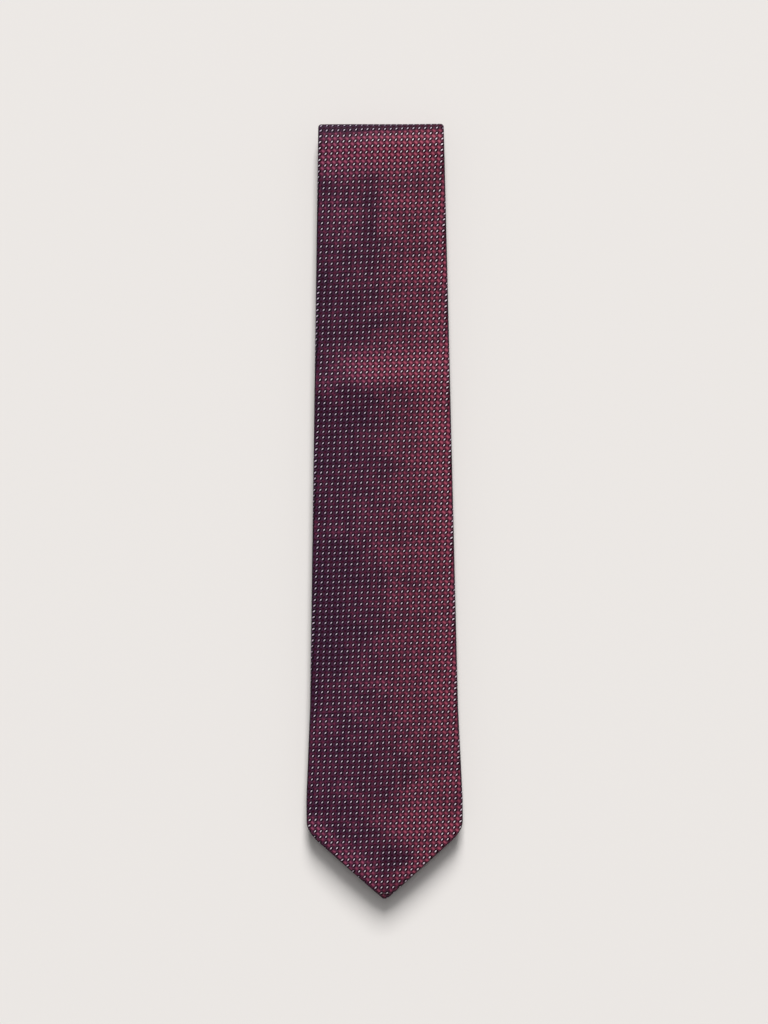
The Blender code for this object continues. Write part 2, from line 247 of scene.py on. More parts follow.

# Painted highlight and painted shade patches that gleam more, or less: the middle in x and y, the reach in x
# and y, and how much.
GLEAMS = (
    (0, 184, 90, 8, 1.45),
    (0, 150, 60, 26, 0.25),
    (-6, 150, 5, 22, -0.6),
    (-33, 130, 6, 70, -0.3),
    (0, 104, 60, 13, -0.05),
    (4, 74, 34, 9, 0.88),
    (-4, 50, 26, 10, -0.22),
    (32, 40, 12, 26, 0.3),
    (-30, -40, 16, 50, -0.3),
    (0, -130, 16, 14, -0.25),
    (14, -157, 12, 10, 0.45),
    (9, -178, 12, 5, -0.45),
)


def gleam(x, y):
    """How much brighter the front is painted than the cloth's own colour, as painted highlight above 0 and
    painted shade below: 0 leaves it as it is.
    """
    aside = x / SIDE_REACH
    side_gleam = SIDE_GLEAM - SIDE_GLEAM_LOSS * (ramp(y, *LESS_NEAR_POINT) + ramp(y, *LESS_NEAR_FOLD))
    total = side_gleam * aside + BOTH_SIDES_GLEAM * aside**2
    for middle_x, middle_y, reach_x, reach_y, lift in GLEAMS:
        off_x = (x - middle_x) / reach_x
        off_y = (y - middle_y - WAVE_SLANT * x) / reach_y
        total += lift * bump(math.hypot(off_x, off_y))
    total += HEM_GLEAM * over_hem(x, y)
    total += PATCH_GLEAM * wander(x - y / 3, y + 0.275 * x, 20, 11, 2.3)
    total -= FOLD_SHADE * ramp(y, TOP_FOLD_Y - 2.5, TOP_FOLD_Y + 2)
    from_side = blade_half(y) - abs(x)
    return MOST_GLEAM * math.tanh(total / MOST_GLEAM) - EDGE_SHADE * ramp(from_side, 1.2, 0.3)


def in_run(run, x, y, h):
    """Where a place (x, y, h) of a run lies, in millimetres."""
    if run is BLADE:
        full = h * (1 + swell(x, y) / run.thick)
        return Vector((x, y, run.back + full - droop(x, y)))
    settled = h * (SETTLED + (1 - SETTLED) * wander(x, y, 25, 45, run.back))
    return Vector((x, y, run.back + run.up * settled))


def in_fold(fold, turn, x, h):
    """A place in a fold, turn radians round from its upper run."""
    share = turn / math.pi
    start = in_run(fold.upper, x, fold.y, h)[Z] - fold.z
    end = fold.z - in_run(fold.lower, x, fold.y, h)[Z]
    rho = start + (end - start) * share
    return Vector((x, fold.y + fold.towards * rho * math.sin(turn), fold.z + rho * math.cos(turn)))


# ------------------------------------------------------------------------------
# Meshes
# ------------------------------------------------------------------------------

SILK = 0.35

# The height of the back's flaps, the radius and the rise of the fold where a flap is turned under, how
# much of it is turned under, and half the space left between the two flaps.
FLAP_H = 0.2
TURN_R = 0.2
PLY = 0.45
ALLOWANCE = 6.0
SLIT = 0.22

# The widest roll of a side edge, as a share of the half width.
WIDEST_ROLL = 0.6
# The V between the flaps is this share of the half width at the shoulders.
OPEN_SHARE = 0.82
# At the tip of a point a run has only this share of its thickness. It gains the rest between these places.
TIP_SHARE, TIP_THICKENS = 0.12, (-1.5, 5.0)
# How deep the silk dips into the seam of a bias join, and from how far.
JOIN_DIP, JOIN_REACH = 0.22, 1.5
# How far the cloth on either side of a fold joins in its bend.
BEND_REACH = 1.0

FOLD_STEPS = 14
NEAR_FOLD = (0, 0.5, 1.0, 1.5, 2.5, 4)
NEAR_JOIN = (0.35, 0.7, 1.2, 2.5)
NEAR_TIP = (0.1, 0.4, 0.8, 1.4, 2.2, 3.2, 4.5, 6)

Counts = namedtuple("Counts", "front roll flap")
BLADE_COUNTS = Counts(26, 8, 12)
NECK_COUNTS = Counts(12, 6, 7)
SEAM_COUNTS = Counts(14, 6, 9)


def cloth_mesh(name, rows, thick, material):
    """A sheet through rows of (place, (u, v)), thickened about its middle."""
    mesh = bpy.data.meshes.new(name)
    across = len(rows[0])
    verts = [place * MM for row in rows for place, _ in row]
    cloth = [(u * MM, v * MM) for row in rows for _, (u, v) in row]
    faces = []
    for r in range(len(rows) - 1):
        for k in range(r * across, r * across + across - 1):
            faces.append((k, k + 1, k + across + 1, k + across))
    mesh.from_pydata(verts, [], faces)
    mesh.shade_smooth()
    layer = mesh.uv_layers.new(name="cloth")
    layer.data.foreach_set("uv", [c for loop in mesh.loops for c in cloth[loop.vertex_index]])
    obj = bpy.data.objects.new(name, mesh)
    bpy.context.scene.collection.objects.link(obj)
    mesh.materials.append(material)
    solidify = obj.modifiers.new("Solidify", "SOLIDIFY")
    solidify.thickness = thick * MM
    solidify.offset = 0.0
    return obj


def half_section(w, thick, opening, slope, counts):
    """Across one half of a run, from the middle of its front round the edge to the flap's turned-under
    end: (x, h, how far across the cloth)."""
    front_h = thick - FLAP_H
    middle = (front_h + FLAP_H) / 2
    roll_h = (front_h - FLAP_H) / 2
    edge = w - SILK / 2
    roll_x = min(roll_h * math.hypot(1, slope), WIDEST_ROLL * edge)
    turn_x = edge - roll_x
    fold_x = min(max(opening, SLIT), turn_x - TURN_R)
    under_x = min(fold_x + ALLOWANCE, turn_x)
    places = []
    for k in range(counts.front):
        x = turn_x * k / counts.front
        places.append((x, front_h, x))
    for k in range(counts.roll + 1):
        turn = math.pi * k / counts.roll
        across = turn_x + 2 * (w - turn_x) * k / counts.roll
        places.append((turn_x + roll_x * math.sin(turn), middle + roll_h * math.cos(turn), across))
    for k in range(1, counts.flap + 1):
        x = turn_x + (fold_x + TURN_R - turn_x) * k / counts.flap
        places.append((x, FLAP_H, 2 * w - x))
    for turn in (math.pi / 4, math.pi / 2, math.pi * 3 / 4, math.pi):
        x = fold_x + TURN_R - TURN_R * math.sin(turn)
        h = FLAP_H + PLY / 2 * (1 - math.cos(turn))
        places.append((x, h, 2 * w - fold_x + TURN_R * turn))
    for k in (1, 2):
        x = fold_x + TURN_R + (under_x - fold_x) * k / 2
        places.append((x, FLAP_H + PLY, 2 * w - fold_x + 3 * TURN_R + x - fold_x))
    return places


def whole_ring(half_of):
    """A ring from its halves on the right, half_of(1), and on the left, half_of(-1)."""
    return half_of(1)[::-1] + half_of(-1)[1:]


def cloth_place(across, w, slope):
    """Where the pattern is that shows this far across: past a slanted edge, the cloth is mirrored about
    that edge."""
    beyond = max(across - w, 0.0)
    length = math.hypot(1, slope)
    tx, ty = slope / length, 1 / length
    return min(across, w) + beyond * (1 - 2 * tx * tx), -2 * beyond * tx * ty


def opening_at(s, opening):
    """Half the space between the flaps, s from a tip: the point's hem, then the V up to where they meet."""
    if s > opening.opens:
        return SLIT
    shoulder = opening.half / POINT_SLOPE
    flap = SLIT + (opening.opens - s) * (opening.half * OPEN_SHARE - SLIT) / (opening.opens - shoulder)
    return max(SLIT, min(POINT_SLOPE * s - opening.hem, flap))


def slanted_half(run, y, slant):
    """The run's half width where a cut that crosses its middle at y, with this slant, meets its edge."""
    w = run.half_at(y)
    for _ in range(4):
        w = run.half_at(y + slant * w)
    return w


def run_ring(run, y, v, v_way, counts, opening=None, lean=0.0, dip=0.0):
    """One ring of a panel in a run. lean shears it, and dip brings its front and back closer together."""
    gap, slope, taper = SLIT, 0.0, 1.0
    if opening:
        s = y - opening.tip
        gap = opening_at(s, opening)
        if s < opening.half:
            slope = max(run.half_at(y + 0.5) - run.half_at(y - 0.5), 0.0)
        taper = TIP_SHARE + (1 - TIP_SHARE) * ramp(s, *TIP_THICKENS)

    def half_of(side):
        w = slanted_half(run, y, side * lean)
        half = []
        for x, h, across in half_section(w, run.thick, gap, slope, counts):
            h = FLAP_H + (h - FLAP_H) * taper
            h += dip if h < run.thick / 2 else -dip
            shear = side * lean * across
            u, shift = cloth_place(across, w, slope)
            half.append((in_run(run, side * x, y + shear, h), (side * u, v + v_way * (shift + shear))))
        return half

    return whole_ring(half_of)


def join_ring(run, y, v, v_way, counts, join, square):
    """A ring that leans to 45 degrees at a bias join, dips into its seam, and is square at another place."""
    dip = JOIN_DIP * ramp(abs(y - join.y), JOIN_REACH, 0)
    return run_ring(run, y, v, v_way, counts, lean=ramp(y, square, join.y), dip=dip)


def fold_ring(fold, turn, v, counts):
    """One ring of a panel in a fold, turn radians round from the fold's upper run."""
    w = between(turn, 0, math.pi, fold.upper.half_at(fold.y), fold.lower.half_at(fold.y))
    section = half_section(w, fold.upper.thick, SLIT, 0.0, counts)

    def half_of(side):
        return [(in_fold(fold, turn, side * x, h), (side * across, v)) for x, h, across in section]

    return whole_ring(half_of)


def fold_arc(fold):
    """How far along the cloth a fold takes: half a turn at the radius of the cloth's front."""
    return math.pi * (fold.gap + (fold.upper.thick - FLAP_H if fold.front_out else FLAP_H))


def stations(start, end, step, fine_start=(), fine_end=()):
    """Places along Y from start to end, a step apart, with closer ones as distances from either end."""
    way = 1 if end > start else -1
    first = start + way * (max(fine_start) if fine_start else 0)
    last = end - way * (max(fine_end) if fine_end else 0)
    count = max(round(abs(last - first) / step), 1)
    middle = [first + (last - first) * k / count for k in range(count + 1)]
    near = [start + way * d for d in sorted(fine_start)[:-1]]
    far = [end - way * d for d in sorted(fine_end, reverse=True)[1:]]
    return near + middle + far


def mark_gleam(obj):
    """Keeps how each point catches the light, which the silk's material paints into its colour as highlight
    and shade; below the top fold's axis it is noise.
    """
    values = []
    for vert in obj.data.vertices:
        x, y, z = vert.co / MM
        values.append(gleam(x, y) if z > TOP_FOLD.z else BACK_GLEAM * wander(x, y, 18, 25, z / 6))
    obj.data.attributes.new("gleam", "FLOAT", "POINT").data.foreach_set("value", values)


def bend_weight(fold, place, is_upper):
    """0 on the fold's upper run and 1 on the lower, by how far round its axis the place is. A little
    cloth on either side joins in, so that the fold's arc spreads into a short flat stretch when it opens."""
    out = fold.towards * (place[Y] - fold.y)
    up = place[Z] - fold.z
    if out < -BEND_REACH:
        return 0.0 if is_upper else 1.0
    if out <= 0:
        up = abs(up) if is_upper else -abs(up)
    rho = math.hypot(out, up) if out > 0 else abs(up)
    turn = math.atan2(out, up)
    if turn < -math.pi / 2:
        turn += 2 * math.pi
    reach = math.atan(BEND_REACH / rho)
    soft = reach * (1 - 2 * (turn + reach) / (math.pi + 2 * reach))
    return min(max((turn + soft) / math.pi, 0.0), 1.0)


def bend_at(obj, fold, upper_points):
    """Bakes obj's transform and works out how far each point would turn round a fold's axis, by its own
    place; the weights are not kept. Its first upper_points points lie in the fold's upper run."""
    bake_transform(obj)
    weights = [bend_weight(fold, vert.co / MM, vert.index < upper_points) for vert in obj.data.vertices]


def panel(name, before, fold, v, counts, after, material):
    """One cloth: the rings before a fold, the rings round it from v on, and those that after(v) gives."""
    arc = fold_arc(fold)
    shares = [k / FOLD_STEPS for k in range(1, FOLD_STEPS)]
    rings = [fold_ring(fold, math.pi * share, v + arc * share, counts) for share in shares]
    rows = before + rings + after(v + arc)
    obj = cloth_mesh(name, rows, SILK, material)
    bend_at(obj, fold, len(before) * len(rows[0]))
    return obj


def blade_silk(material):
    """The blade's panel: from its tip round the top fold to the first bias join."""
    counts = BLADE_COUNTS
    ys = stations(BLADE_TIP, TOP_FOLD_Y, 2.0, NEAR_TIP, NEAR_FOLD)
    before = [run_ring(BLADE, y, y, 1, counts, BLADE_OPENING) for y in ys]

    def after(start):
        ys = stations(TOP_FOLD_Y, BLADE_NECK.y, 3.0, NEAR_FOLD, NEAR_JOIN)
        vs = [start + TOP_FOLD_Y - y for y in ys]
        return [join_ring(INNER, y, v, -1, counts, BLADE_NECK, BLADE_NECK.above) for y, v in zip(ys, vs)]

    return panel("blade_silk", before, TOP_FOLD, TOP_FOLD_Y, counts, after, material)


def neck_silk(material):
    """The neck's panel: between the two bias joins, round the inner fold."""
    counts = NECK_COUNTS
    ys = stations(BLADE_NECK.y, INNER_FOLD_Y, 4.0, NEAR_JOIN, NEAR_FOLD)
    before = [join_ring(INNER, y, -y, -1, counts, BLADE_NECK, BLADE_NECK.below) for y in ys]

    def after(start):
        ys = stations(INNER_FOLD_Y, NECK_TAIL.y, 4.0, NEAR_FOLD, NEAR_JOIN)
        vs = [start + y - INNER_FOLD_Y for y in ys]
        return [join_ring(NECK, y, v, 1, counts, NECK_TAIL, NECK_TAIL.below) for y, v in zip(ys, vs)]

    return panel("neck_silk", before, INNER_FOLD, -INNER_FOLD_Y, counts, after, material)


def tail_silk(material):
    """The tail's panel: from the second bias join round the rear fold to the tail's tip."""
    counts = NECK_COUNTS
    ys = stations(NECK_TAIL.y, TOP_FOLD_Y, 3.0, NEAR_JOIN, NEAR_FOLD)
    before = [join_ring(NECK, y, y, 1, counts, NECK_TAIL, NECK_TAIL.above) for y in ys]

    def after(start):
        ys = stations(TOP_FOLD_Y, TAIL_TIP, 3.0, NEAR_FOLD, NEAR_TIP)
        return [run_ring(TAIL, y, start + TOP_FOLD_Y - y, -1, counts, TAIL_OPENING) for y in ys]

    return panel("tail_silk", before, REAR_FOLD, TOP_FOLD_Y, counts, after, material)


def flat_cloth(name, run, ys, half_at, height, columns, thick, material):
    """Cloth lying in a run: half_at gives its half width at y, and height its height at (x, y)."""
    rows = []
    for y in ys:
        half = half_at(y)
        xs = [half * (2 * k / columns - 1) for k in range(columns + 1)]
        rows.append([(in_run(run, x, y, height(x, y)), (x, y)) for x in xs])
    obj = cloth_mesh(name, rows, thick, material)
    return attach(obj, run.body)


def thread(name, run, places, radius, material):
    """Sewing thread through places (x, y, h) in a run."""
    curve = bpy.data.curves.new(name, "CURVE")
    curve.dimensions = "3D"
    curve.bevel_depth = radius * MM
    curve.bevel_resolution = 2
    curve.resolution_u = 3
    curve.use_fill_caps = True
    spline = curve.splines.new("BEZIER")
    spline.bezier_points.add(len(places) - 1)
    for point, (x, y, h) in zip(spline.bezier_points, places):
        point.co = in_run(run, x, y, h) * MM
        point.handle_left_type = point.handle_right_type = "AUTO"
    curve.materials.append(material)
    obj = bpy.data.objects.new(name, curve)
    bpy.context.scene.collection.objects.link(obj)
    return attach(obj, run.body)


# ------------------------------------------------------------------------------
# Materials
# ------------------------------------------------------------------------------


def srgb(red, green, blue):
    """The linear colour of an sRGB one given from 0 to 255."""

    def linear(level):
        share = level / 255
        return share / 12.92 if level <= 10 else ((share + 0.055) / 1.055) ** 2.4

    return linear(red), linear(green), linear(blue), 1.0


class Web:
    """A material's nodes, added one sum at a time."""

    def __init__(self, name):
        self.material = bpy.data.materials.new(name)
        self.material.use_nodes = True
        self.tree = self.material.node_tree
        self.shader = self.tree.nodes["Principled BSDF"]

    def set(self, socket, value):
        if isinstance(value, bpy.types.NodeSocket):
            self.tree.links.new(value, socket)
        else:
            socket.default_value = value

    def node(self, kind, **settings):
        made = self.tree.nodes.new("ShaderNode" + kind)
        for name, value in settings.items():
            setattr(made, name, value)
        return made

    def math(self, operation, *values):
        made = self.node("Math", operation=operation)
        for socket, value in zip(made.inputs, values):
            self.set(socket, value)
        return made.outputs[0]

    def add(self, a, b):
        return self.math("ADD", a, b)

    def times(self, a, b):
        return self.math("MULTIPLY", a, b)

    def times_add(self, a, b, more):
        """a times b, plus more."""
        return self.math("MULTIPLY_ADD", a, b, more)

    def waves(self, value, pitch):
        """A sine along value, once every pitch."""
        return self.math("SINE", self.times(value, 2 * math.pi / pitch))

    def smooth(self, value, low, high, to_low=0.0, to_high=1.0):
        """to_low at low, to_high at high, smooth between them."""
        made = self.node("MapRange", interpolation_type="SMOOTHSTEP")
        for socket, number in zip(made.inputs, (value, low, high, to_low, to_high)):
            self.set(socket, number)
        return made.outputs[0]

    def mix(self, share, a, b, way="MIX"):
        made = self.node("Mix", data_type="RGBA", blend_type=way)
        self.set(made.inputs["Factor"], share)
        self.set(made.inputs[6], a)
        self.set(made.inputs[7], b)
        return made.outputs[2]

    def shaded(self, colour, shade):
        """colour times one number."""
        return self.mix(1.0, colour, self.joined(shade, shade, shade), "MULTIPLY")

    def cloth(self):
        """The cloth's own coordinates in millimetres, across and along."""
        uv = self.node("UVMap", uv_map="cloth")
        parts = self.node("SeparateXYZ")
        self.set(parts.inputs[0], uv.outputs[0])
        return self.times(parts.outputs[0], 1 / MM), self.times(parts.outputs[1], 1 / MM)

    def object_place(self):
        return self.node("TexCoord").outputs["Object"]

    def joined(self, u, v, w=0.0):
        made = self.node("CombineXYZ")
        for socket, value in zip(made.inputs, (u, v, w)):
            self.set(socket, value)
        return made.outputs[0]

    def cloud(self, where, scale, detail):
        made = self.node("TexNoise")
        self.set(made.inputs["Vector"], where)
        made.inputs["Scale"].default_value = scale
        made.inputs["Detail"].default_value = detail
        return made.outputs[0]

    def bump(self, height, distance, strength):
        """Raises the surface by height, which is in units of distance, in millimetres."""
        made = self.node("Bump")
        made.inputs["Strength"].default_value = strength
        made.inputs["Distance"].default_value = distance * MM
        self.set(made.inputs["Height"], height)
        self.set(self.shader.inputs["Normal"], made.outputs[0])

    def finish(self, colour, roughness, **constant):
        self.set(self.shader.inputs["Base Color"], colour)
        self.set(self.shader.inputs["Roughness"], roughness)
        for name, value in constant.items():
            self.shader.inputs[name.replace("_", " ")].default_value = value
        return self.material


# The dots' lattice: from one dot to the next across the cloth, and along it.
ACROSS = (2.956, 0.076)
ALONG = (0.163, 2.956)
LATTICE_AREA = ACROSS[0] * ALONG[1] - ACROSS[1] * ALONG[0]
UNEVEN = 0.9

# What repeats with the lattice: an ellipse at this distance from each dot's middle, turned by an angle,
# with half its length, half its width, and how soft its edge is.
Spot = namedtuple("Spot", "middle angle long short soft")
DOT_SPOT = Spot((0, 0), math.radians(49), 0.6, 0.22, 0.25)
BLACK_SPOTS = (
    Spot((0.76, 0.1), 1.45, 0.66, 0.36, 0.22),
    Spot((0.4, -0.68), 0.5, 0.7, 0.36, 0.22),
    Spot((0.02, 0.8), 0.3, 0.6, 0.33, 0.22),
)
FAINT_BLACK_SPOT = Spot((-0.72, -0.05), 1.2, 0.7, 0.33, 0.22)
MAROON_SPOT = Spot((1.4, -1.62), 0.3, 0.85, 0.62, 0.22)
# The floats' rose painted highlight.
ROSE_SHEEN_SPOT = Spot((1.5, -1.46), math.radians(-42), 0.96, 0.5, 0.4)

TWILL_WAY, TWILL_PITCH = (0.82, 0.57), 0.34
WEFT_PITCH = 0.21

# The silk's colours, each as painted shade where it lies in shade and as painted highlight where it catches
# the light.
DOT = srgb(172, 154, 178), srgb(255, 246, 255)
ROSE_SHEEN = srgb(104, 40, 62), srgb(176, 90, 114)
GROUND = srgb(60, 35, 55), srgb(104, 46, 68)
MAROON = srgb(32, 0, 14), srgb(88, 16, 40)
BLACK = srgb(1, 0, 0), srgb(14, 0, 5)
SHADE_AT, LIT_AT = -0.72, 1.85
# Tints of a painted sheen: cooler to the left, warmer to the right and where it gleams.
SHEEN_COOL, SHEEN_WARM = (0.92, 0.97, 1.08, 1.0), (1.06, 1.0, 0.94, 1.0)
SILK_TINT = (1.0, 0.72, 0.78, 1.0)


def lattice(web, u, v, middle):
    """Which cell of the lattice (u, v) is in, where the cells are centred this far from the dots, and its
    place within the cell."""
    u = web.add(u, -middle[0])
    v = web.add(v, -middle[1])
    i = web.times_add(u, ALONG[1] / LATTICE_AREA, web.times(v, -ALONG[0] / LATTICE_AREA))
    j = web.times_add(v, ACROSS[0] / LATTICE_AREA, web.times(u, -ACROSS[1] / LATTICE_AREA))
    cell_i, cell_j = web.math("ROUND", i), web.math("ROUND", j)
    off_i, off_j = web.math("SUBTRACT", i, cell_i), web.math("SUBTRACT", j, cell_j)
    x = web.times_add(off_i, ACROSS[0], web.times(off_j, ALONG[0]))
    y = web.times_add(off_i, ACROSS[1], web.times(off_j, ALONG[1]))
    return cell_i, cell_j, x, y


def in_spot(web, u, v, spot):
    """1 inside the nearest of the lattice's copies of a spot, 0 outside."""
    _, _, x, y = lattice(web, u, v, spot.middle)
    cos, sin = math.cos(spot.angle), math.sin(spot.angle)
    along = web.times_add(x, cos / spot.long, web.times(y, sin / spot.long))
    beside = web.times_add(x, -sin / spot.short, web.times(y, cos / spot.short))
    far = web.math("SQRT", web.times_add(along, along, web.times(beside, beside)))
    return web.smooth(far, 1 + spot.soft, 1 - spot.soft)


def silk_material():
    """Jacquard silk: leaning pin dots on a twill ground, with dark floats between them that take a rose
    painted highlight where the painted light is strong.
    """
    web = Web("silk")
    u, v = web.cloth()
    place = web.joined(u, v)
    u = web.times_add(web.math("SUBTRACT", web.cloud(place, 0.06, 1.0), 0.5), UNEVEN, u)
    v = web.times_add(web.math("SUBTRACT", web.cloud(place, 0.045, 1.0), 0.5), UNEVEN, v)

    dot = in_spot(web, u, v, DOT_SPOT)
    blacks = web.times(in_spot(web, u, v, FAINT_BLACK_SPOT), 0.9)
    for spot in BLACK_SPOTS:
        blacks = web.math("MAXIMUM", blacks, in_spot(web, u, v, spot))
    maroons = in_spot(web, u, v, MAROON_SPOT)
    rose_sheen = in_spot(web, u, v, ROSE_SHEEN_SPOT)

    # Each dot, and the ground round it, is a little lighter or darker than the next.
    cell_i, cell_j, _, _ = lattice(web, u, v, DOT_SPOT.middle)
    chance = web.node("TexWhiteNoise", noise_dimensions="2D")
    web.set(chance.inputs["Vector"], web.joined(cell_i, cell_j))
    luck = chance.outputs[0]
    # Painted light: the gleam, with each cell's own random tone, picks between each colour's painted shade
    # and painted highlight.
    shine = web.node("Attribute", attribute_name="gleam").outputs["Fac"]
    tone = web.smooth(web.times_add(luck, 0.5, shine), SHADE_AT, LIT_AT)

    def lit(pair):
        return web.mix(tone, *pair)

    ground = web.mix(blacks, lit(GROUND), lit(BLACK))
    ground = web.mix(web.times(maroons, 0.9), ground, lit(MAROON))
    # Painted highlight: the floats turn rose where the painted light is strong.
    ground = web.mix(web.times(rose_sheen, web.smooth(tone, 0.14, 0.6, 0.0, 0.95)), ground, lit(ROSE_SHEEN))

    # Painted sheen: the ground is redder towards the right side and where it gleams, with slow noise.
    broad = web.cloud(place, 0.022, 2.0)
    sheen_redness = web.smooth(web.times_add(broad, 26.0, web.times_add(shine, 14.0, u)), -22.0, 48.0)
    sheen_cooled = web.mix(1.0, ground, SHEEN_COOL, "MULTIPLY")
    sheen_warmed = web.mix(1.0, ground, SHEEN_WARM, "MULTIPLY")
    ground = web.mix(sheen_redness, sheen_cooled, sheen_warmed)

    across_twill = web.times(v, -2 * math.pi * TWILL_WAY[1] / TWILL_PITCH)
    twill = web.math("SINE", web.times_add(u, 2 * math.pi * TWILL_WAY[0] / TWILL_PITCH, across_twill))
    weft = web.waves(v, WEFT_PITCH)
    slub = web.cloud(web.joined(web.times(u, 0.25), web.times(v, 3.0)), 0.8, 3.0)
    ground = web.shaded(ground, web.times_add(twill, 0.06, web.times_add(slub, 0.6, 0.7)))
    # The dots are painted whiter where the painted light falls, and vary with each cell's own tone.
    dot_tone_and_painted_light = web.times_add(luck, -0.3, web.times_add(tone, 0.7, 0.35))
    colour = web.mix(dot, ground, web.mix(dot_tone_and_painted_light, *DOT))

    height = web.times_add(dot, 1.0, web.times_add(twill, 0.22, web.times(weft, 0.1)))
    height = web.times_add(web.math("MAXIMUM", blacks, maroons), -0.5, height)
    web.bump(height, 0.045, 0.8)
    roughness = web.times_add(broad, 0.12, web.times_add(dot, 0.06, 0.36))
    roughness = web.times_add(blacks, 0.1, roughness)
    return web.finish(
        colour,
        roughness,
        Specular_IOR_Level=0.06,
        Specular_Tint=SILK_TINT,
        Sheen_Weight=0.02,
    )


def satin_material():
    """Plain satin for the tippings: fine lines along the warp and slow changes of shade."""
    web = Web("satin")
    u, v = web.cloth()
    warp = web.waves(u, 0.24)
    slub = web.cloud(web.joined(web.times(u, 4.0), web.times(v, 0.2)), 0.5, 3.0)
    broad = web.cloud(web.joined(u, v), 0.04, 2.0)
    colour = web.mix(broad, srgb(58, 12, 30), srgb(96, 28, 50))
    colour = web.shaded(colour, web.times_add(slub, 0.4, 0.8))
    web.bump(web.times_add(warp, 0.3, slub), 0.03, 0.5)
    roughness = web.times_add(slub, 0.15, web.times_add(broad, 0.1, 0.3))
    return web.finish(colour, roughness, Specular_IOR_Level=0.3, Sheen_Weight=0.08)


def wool_material():
    """Loose off-white wool canvas."""
    web = Web("wool")
    u, v = web.cloth()
    weave = web.times(web.waves(u, 0.9), web.waves(v, 0.9))
    fuzz = web.cloud(web.joined(u, v), 2.5, 4.0)
    colour = web.mix(fuzz, srgb(196, 188, 172), srgb(232, 226, 214))
    colour = web.shaded(colour, web.times_add(weave, 0.12, 0.9))
    web.bump(web.times_add(weave, 0.6, fuzz), 0.12, 0.8)
    roughness = web.times_add(fuzz, 0.1, 0.85)
    return web.finish(colour, roughness, Specular_IOR_Level=0.2, Sheen_Weight=0.3)


def thread_material(name, dark, light):
    """Twisted sewing thread."""
    web = Web(name)
    where = web.object_place()
    plies = web.cloud(where, 3500.0, 2.0)
    broad = web.cloud(where, 120.0, 1.0)
    web.bump(plies, 0.03, 0.6)
    roughness = web.times_add(broad, 0.2, 0.35)
    return web.finish(
        web.mix(plies, dark, light),
        roughness,
        Specular_IOR_Level=0.45,
        Sheen_Weight=0.2,
    )


def label_material(name, ground, border, half):
    """A blank woven label with a narrow woven border and nothing on it."""
    web = Web(name)
    u, v = web.cloth()
    from_side = web.math("SUBTRACT", half[X], web.math("ABSOLUTE", u))
    from_end = web.math("SUBTRACT", half[Y], web.math("ABSOLUTE", v))
    near = web.math("MINIMUM", from_side, from_end)
    line = web.times(web.smooth(near, 1.1, 1.3), web.smooth(near, 1.9, 1.7))
    weave = web.times(web.waves(v, 0.3), web.waves(u, 0.4))
    grain = web.cloud(web.joined(u, web.times(v, 3.0)), 1.2, 3.0)
    shade = web.times_add(grain, 0.5, web.times_add(weave, 0.1, 0.72))
    colour = web.shaded(web.mix(line, ground, border), shade)
    web.bump(web.times_add(line, 0.6, weave), 0.04, 0.7)
    roughness = web.times_add(grain, 0.2, 0.4)
    return web.finish(colour, roughness, Specular_IOR_Level=0.35, Sheen_Weight=0.2)


def floor_material():
    """Smooth pale paper."""
    web = Web("floor")
    grain = web.cloud(web.object_place(), 900.0, 3.0)
    tone = web.times_add(grain, 0.01, 0.795)
    colour = web.joined(web.times(tone, 1.02), web.times(tone, 0.99), web.times(tone, 0.97))
    web.bump(grain, 0.02, 0.1)
    return web.finish(colour, 0.95, Specular_IOR_Level=0.05)


# ------------------------------------------------------------------------------
# Camera, floor and light, in metres
# ------------------------------------------------------------------------------

CAMERA_AT = (0.0005, -0.0005, 1.6)
CAMERA_TURN = math.radians(-0.3)
LENS = 109.3
SENSOR = 36.0
FLOOR_HALF = 15.0
LAMP_DISTANCE = 60.0
SURROUND, SURROUND_COLOUR = 0.17, (1.0, 0.99, 0.98, 1.0)


def add_camera():
    """Straight above the tie, far enough off that the view is nearly flat."""
    data = bpy.data.cameras.new("camera")
    camera = bpy.data.objects.new("camera", data)
    bpy.context.scene.collection.objects.link(camera)
    data.sensor_width = SENSOR
    data.lens = LENS
    camera.location = CAMERA_AT
    camera.rotation_euler = (0, 0, CAMERA_TURN)
    bpy.context.scene.camera = camera


def add_floor():
    mesh = bpy.data.meshes.new("floor")
    corners = [(FLOOR_HALF * x, FLOOR_HALF * y, 0) for x, y in ((-1, -1), (1, -1), (1, 1), (-1, 1))]
    mesh.from_pydata(corners, [], [(0, 1, 2, 3)])
    floor = bpy.data.objects.new("floor", mesh)
    bpy.context.scene.collection.objects.link(floor)
    mesh.materials.append(floor_material())


def area_light(name, azimuth, elevation, spans, irradiance, colour):
    """A far-off lamp seen from the tie's middle: its direction from +Y towards +X and above the floor, and
    the angles that it spans across and up, all in degrees. irradiance is what it gives a surface that
    faces it, in watts per square metre."""
    wide, tall = (2 * LAMP_DISTANCE * math.tan(math.radians(span / 2)) for span in spans)
    data = bpy.data.lights.new(name, "AREA")
    data.shape = "RECTANGLE"
    data.size = wide
    data.size_y = tall
    data.energy = irradiance * math.pi * LAMP_DISTANCE**2
    data.color = colour
    lamp = bpy.data.objects.new(name, data)
    bpy.context.scene.collection.objects.link(lamp)
    round_by, rise = math.radians(azimuth), math.radians(elevation)
    level = math.cos(rise)
    towards = Vector((math.sin(round_by) * level, math.cos(round_by) * level, math.sin(rise)))
    lamp.location = towards * LAMP_DISTANCE
    lamp.rotation_euler = (-towards).to_track_quat("-Z", "Y").to_euler()


